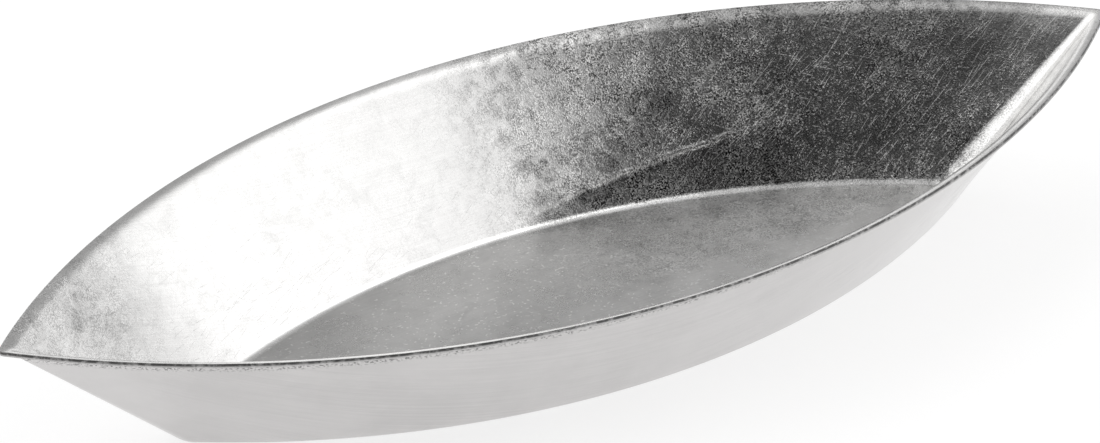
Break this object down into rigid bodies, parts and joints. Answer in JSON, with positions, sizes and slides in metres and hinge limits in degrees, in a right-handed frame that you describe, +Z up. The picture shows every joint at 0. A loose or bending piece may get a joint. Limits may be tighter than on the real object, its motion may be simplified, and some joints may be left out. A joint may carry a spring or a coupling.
{
  "type": "boat-shaped baking mould",
  "caption": "Shallow boat-shaped tartlet tin pressed from thin tinplate, with a flat floor, flared sides, pointed ends and a narrow flared, raw-edged lip.",
  "frame": {"origin": "middle of the flat underside", "axes": "+X from nose to nose, Y across the mould, +Z up out of its open side"},
  "size_m": [0.12, 0.0508, 0.0149],
  "materials": {
    "tinplate": "bright tinned steel, smooth, with fine grain, handling scratches and a duller floor"
  },
  "bodies": {
    "root": {"mould_body": "tinplate"}
  },
  "joints": []
}
